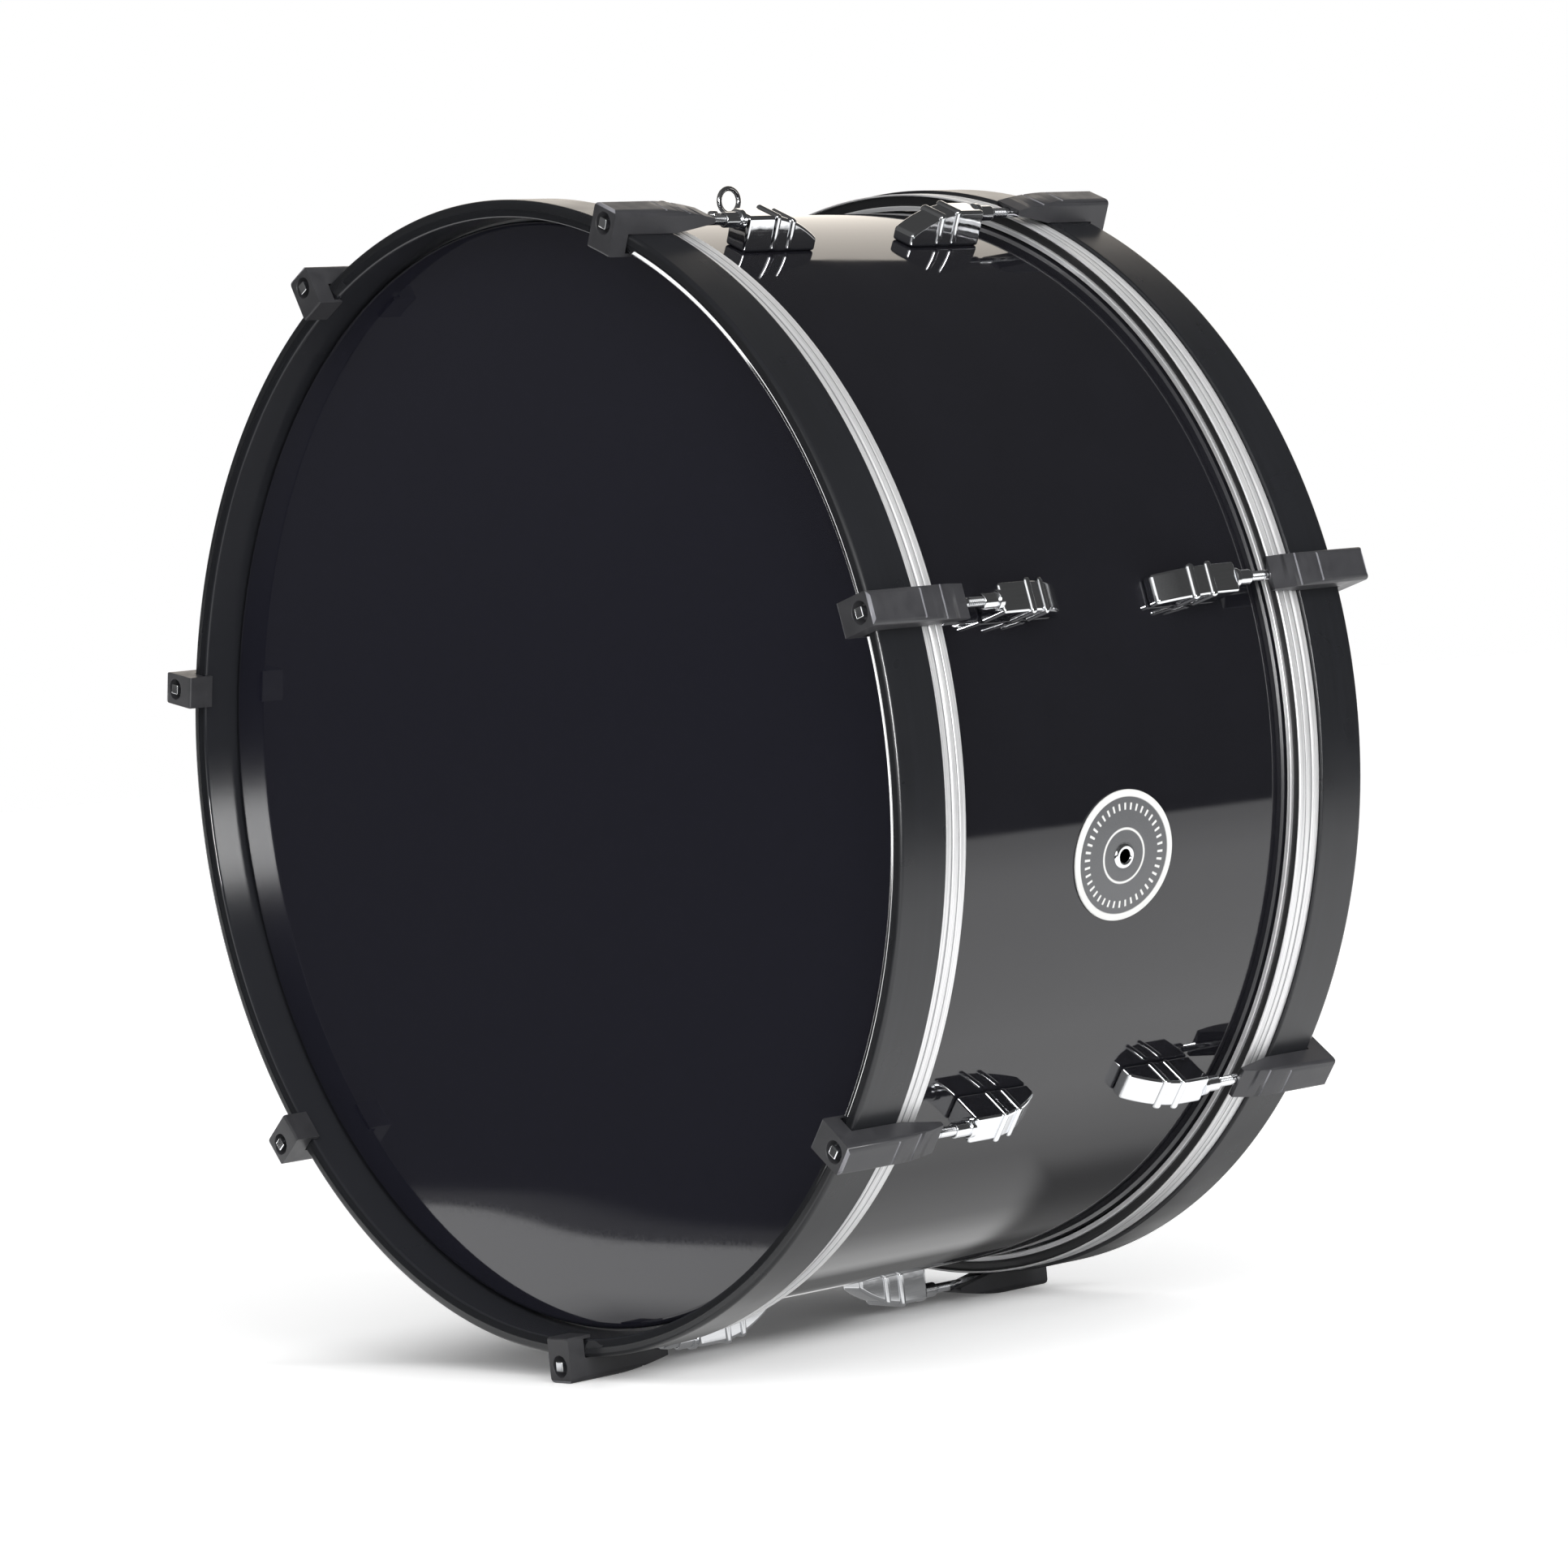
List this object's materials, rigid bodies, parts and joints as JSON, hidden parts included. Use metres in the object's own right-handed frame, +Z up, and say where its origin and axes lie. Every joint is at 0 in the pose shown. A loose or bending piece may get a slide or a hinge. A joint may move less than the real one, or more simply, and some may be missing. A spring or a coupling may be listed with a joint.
{
  "type": "marching bass drum",
  "caption": "Short wide wooden drum with a black head at each end, stretched by counterhoops, claws and chromed key rods that screw into lugs on the shell.",
  "frame": {"origin": "on the floor under the middle of the drum", "axes": "+Y along the drum's axis, from the front head to the rear head; +Z up; the badge and its vent face +X"},
  "size_m": [0.7004, 0.3874, 0.7052],
  "materials": {
    "shell_lacquer": "polished black lacquer on bent plywood",
    "head_film": "smooth black polyester film",
    "hoop_lacquer": "satin black lacquer on bent plywood",
    "flesh_hoop_aluminium": "rolled, bright",
    "claw_paint": "satin dark grey powder coat on die-cast metal",
    "chrome": "polished chrome plate",
    "badge_metal": "satin grey print with a bright rim on thin sheet",
    "vent_metal": "bright plated eyelet"
  },
  "bodies": {
    "drum_body": {"shell": "shell_lacquer", "badge": "badge_metal", "air_vent": "vent_metal", "carrying_eye_right": "chrome", "carrying_eye_left": "chrome", "front_lug_1": "chrome", "front_lug_2": "chrome", "front_lug_3": "chrome", "front_lug_4": "chrome", "front_lug_5": "chrome", "front_lug_6": "chrome", "front_lug_7": "chrome", "rear_lug_1": "chrome", "rear_lug_2": "chrome", "rear_lug_3": "chrome", "rear_lug_4": "chrome", "rear_lug_5": "chrome", "rear_lug_6": "chrome", "rear_lug_7": "chrome"},
    "front_head_set": {"front_head_film": "head_film", "front_flesh_hoop": "flesh_hoop_aluminium", "front_counterhoop": "hoop_lacquer", "front_claw_1": "claw_paint", "front_claw_2": "claw_paint", "front_claw_3": "claw_paint", "front_claw_4": "claw_paint", "front_claw_5": "claw_paint", "front_claw_6": "claw_paint", "front_claw_7": "claw_paint"},
    "rear_head_set": {"rear_head_film": "head_film", "rear_flesh_hoop": "flesh_hoop_aluminium", "rear_counterhoop": "hoop_lacquer", "rear_claw_1": "claw_paint", "rear_claw_2": "claw_paint", "rear_claw_3": "claw_paint", "rear_claw_4": "claw_paint", "rear_claw_5": "claw_paint", "rear_claw_6": "claw_paint", "rear_claw_7": "claw_paint"},
    "front_rod_1": {"front_key_rod_1": "chrome"},
    "front_rod_2": {"front_key_rod_2": "chrome"},
    "front_rod_3": {"front_key_rod_3": "chrome"},
    "front_rod_4": {"front_key_rod_4": "chrome"},
    "front_rod_5": {"front_key_rod_5": "chrome"},
    "front_rod_6": {"front_key_rod_6": "chrome"},
    "front_rod_7": {"front_key_rod_7": "chrome"},
    "rear_rod_1": {"rear_key_rod_1": "chrome"},
    "rear_rod_2": {"rear_key_rod_2": "chrome"},
    "rear_rod_3": {"rear_key_rod_3": "chrome"},
    "rear_rod_4": {"rear_key_rod_4": "chrome"},
    "rear_rod_5": {"rear_key_rod_5": "chrome"},
    "rear_rod_6": {"rear_key_rod_6": "chrome"},
    "rear_rod_7": {"rear_key_rod_7": "chrome"}
  },
  "joints": [
    {"name": "front_head_slide", "type": "slide", "parent": "drum_body", "child": "front_head_set", "axis": [0, -1, 0], "range_m": [0, 0.018]},
    {"name": "front_rod_1_turn", "type": "hinge", "parent": "front_head_set", "child": "front_rod_1", "pos_m": [0, -0.1854, 0.0101], "axis": [0, -1, 0], "range_deg": [0, 6480]},
    {"name": "front_rod_2_turn", "type": "hinge", "parent": "front_head_set", "child": "front_rod_2", "pos_m": [0.27173, -0.1854, 0.14096], "axis": [0, -1, 0], "range_deg": [0, 6480]},
    {"name": "front_rod_3_turn", "type": "hinge", "parent": "front_head_set", "child": "front_rod_3", "pos_m": [0.33884, -0.1854, 0.43499], "axis": [0, -1, 0], "range_deg": [0, 6480]},
    {"name": "front_rod_4_turn", "type": "hinge", "parent": "front_head_set", "child": "front_rod_4", "pos_m": [0.1508, -0.1854, 0.67079], "axis": [0, -1, 0], "range_deg": [0, 6480]},
    {"name": "front_rod_5_turn", "type": "hinge", "parent": "front_head_set", "child": "front_rod_5", "pos_m": [-0.1508, -0.1854, 0.67079], "axis": [0, -1, 0], "range_deg": [0, 6480]},
    {"name": "front_rod_6_turn", "type": "hinge", "parent": "front_head_set", "child": "front_rod_6", "pos_m": [-0.33884, -0.1854, 0.43499], "axis": [0, -1, 0], "range_deg": [0, 6480]},
    {"name": "front_rod_7_turn", "type": "hinge", "parent": "front_head_set", "child": "front_rod_7", "pos_m": [-0.27173, -0.1854, 0.14096], "axis": [0, -1, 0], "range_deg": [0, 6480]},
    {"name": "rear_head_slide", "type": "slide", "parent": "drum_body", "child": "rear_head_set", "axis": [0, 1, 0], "range_m": [0, 0.018]},
    {"name": "rear_rod_1_turn", "type": "hinge", "parent": "rear_head_set", "child": "rear_rod_1", "pos_m": [0, 0.1854, 0.0101], "axis": [0, 1, 0], "range_deg": [0, 6480]},
    {"name": "rear_rod_2_turn", "type": "hinge", "parent": "rear_head_set", "child": "rear_rod_2", "pos_m": [0.27173, 0.1854, 0.14096], "axis": [0, 1, 0], "range_deg": [0, 6480]},
    {"name": "rear_rod_3_turn", "type": "hinge", "parent": "rear_head_set", "child": "rear_rod_3", "pos_m": [0.33884, 0.1854, 0.43499], "axis": [0, 1, 0], "range_deg": [0, 6480]},
    {"name": "rear_rod_4_turn", "type": "hinge", "parent": "rear_head_set", "child": "rear_rod_4", "pos_m": [0.1508, 0.1854, 0.67079], "axis": [0, 1, 0], "range_deg": [0, 6480]},
    {"name": "rear_rod_5_turn", "type": "hinge", "parent": "rear_head_set", "child": "rear_rod_5", "pos_m": [-0.1508, 0.1854, 0.67079], "axis": [0, 1, 0], "range_deg": [0, 6480]},
    {"name": "rear_rod_6_turn", "type": "hinge", "parent": "rear_head_set", "child": "rear_rod_6", "pos_m": [-0.33884, 0.1854, 0.43499], "axis": [0, 1, 0], "range_deg": [0, 6480]},
    {"name": "rear_rod_7_turn", "type": "hinge", "parent": "rear_head_set", "child": "rear_rod_7", "pos_m": [-0.27173, 0.1854, 0.14096], "axis": [0, 1, 0], "range_deg": [0, 6480]}
  ],
  "couplings": [
    {"joint": "front_rod_1_turn", "follows": "front_head_slide", "rad_per_m": 6283.2},
    {"joint": "front_rod_2_turn", "follows": "front_head_slide", "rad_per_m": 6283.2},
    {"joint": "front_rod_3_turn", "follows": "front_head_slide", "rad_per_m": 6283.2},
    {"joint": "front_rod_4_turn", "follows": "front_head_slide", "rad_per_m": 6283.2},
    {"joint": "front_rod_5_turn", "follows": "front_head_slide", "rad_per_m": 6283.2},
    {"joint": "front_rod_6_turn", "follows": "front_head_slide", "rad_per_m": 6283.2},
    {"joint": "front_rod_7_turn", "follows": "front_head_slide", "rad_per_m": 6283.2},
    {"joint": "rear_rod_1_turn", "follows": "rear_head_slide", "rad_per_m": 6283.2},
    {"joint": "rear_rod_2_turn", "follows": "rear_head_slide", "rad_per_m": 6283.2},
    {"joint": "rear_rod_3_turn", "follows": "rear_head_slide", "rad_per_m": 6283.2},
    {"joint": "rear_rod_4_turn", "follows": "rear_head_slide", "rad_per_m": 6283.2},
    {"joint": "rear_rod_5_turn", "follows": "rear_head_slide", "rad_per_m": 6283.2},
    {"joint": "rear_rod_6_turn", "follows": "rear_head_slide", "rad_per_m": 6283.2},
    {"joint": "rear_rod_7_turn", "follows": "rear_head_slide", "rad_per_m": 6283.2}
  ]
}
